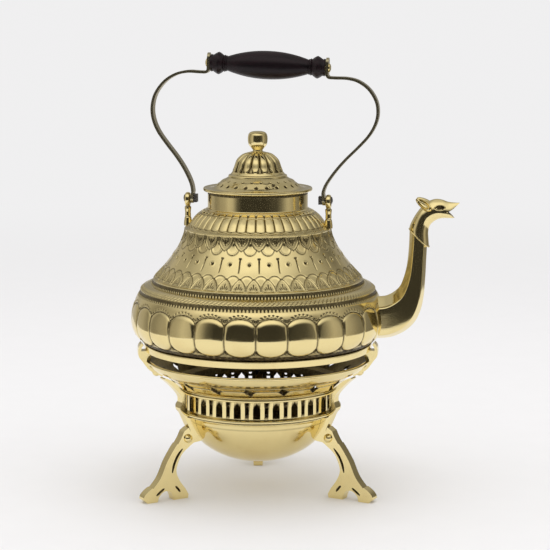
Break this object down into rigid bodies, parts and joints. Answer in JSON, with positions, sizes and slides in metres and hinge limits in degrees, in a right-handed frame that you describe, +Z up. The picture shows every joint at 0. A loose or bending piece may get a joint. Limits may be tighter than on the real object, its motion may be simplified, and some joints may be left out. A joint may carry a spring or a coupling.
{
  "type": "spirit kettle on stand",
  "caption": "Brass spirit kettle with lobed body, faceted animal-head spout, swinging wood-grip bail and lift-off lid, on a pierced three-legged stand with burner.",
  "frame": {"origin": "on the table under the middle of the stand, which is also the kettle's axis", "axes": "+Z up, the overall height; +X towards the spout, along the bail's hinge axis; +Y away from the side that the picture shows, the shortest way across"},
  "size_m": [0.2848, 0.2224, 0.3849],
  "materials": {
    "polished_brass": "polished",
    "strap_brass": "aged satin",
    "dark_steel": "dark satin",
    "dark_wood": "polished, very dark",
    "cotton": "woven wick"
  },
  "bodies": {
    "stand": {"stand_rim": "polished_brass", "gallery": "polished_brass", "bowl": "polished_brass", "leg_front_left": "polished_brass", "leg_front_right": "polished_brass", "leg_back": "polished_brass", "leg_screws": "dark_steel", "leg_rivets": "polished_brass", "bracket_left": "polished_brass", "bracket_right": "polished_brass", "bracket_back": "polished_brass", "bracket_rivets": "polished_brass"},
    "kettle": {"kettle_body": "polished_brass", "base_pan": "polished_brass", "neck_collar": "polished_brass", "spout_tube": "polished_brass", "spout_head": "polished_brass", "ear_left": "polished_brass", "ear_right": "polished_brass", "bolt_left": "dark_steel", "bolt_right": "dark_steel"},
    "bail": {"bail_left": "strap_brass", "bail_right": "strap_brass", "grip_rod": "polished_brass"},
    "grip": {"grip": "dark_wood"},
    "lid": {"lid_cover": "polished_brass", "lid_bezel": "polished_brass", "lid_knob": "polished_brass", "knob_nut": "polished_brass"},
    "burner": {"burner_font": "polished_brass", "burner_collar": "polished_brass", "wick_tube": "polished_brass", "wick": "cotton"}
  },
  "joints": [
    {"name": "kettle_lift", "type": "slide", "parent": "stand", "child": "kettle", "axis": [0, 0, 1], "range_m": [0, 0.08]},
    {"name": "bail_swing", "type": "hinge", "parent": "kettle", "child": "bail", "pos_m": [0, 0, 0.2565], "axis": [1, 0, 0], "range_deg": [-118, 118]},
    {"name": "grip_spin", "type": "hinge", "parent": "bail", "child": "grip", "pos_m": [0.00856, 0, 0.3725], "axis": [0.9994, 0, -0.0349], "continuous": true},
    {"name": "lid_lift", "type": "slide", "parent": "kettle", "child": "lid", "axis": [0, 0, 1], "range_m": [0, 0.04]},
    {"name": "burner_lift", "type": "slide", "parent": "stand", "child": "burner", "axis": [0, 0, 1], "range_m": [0, 0.03]}
  ]
}
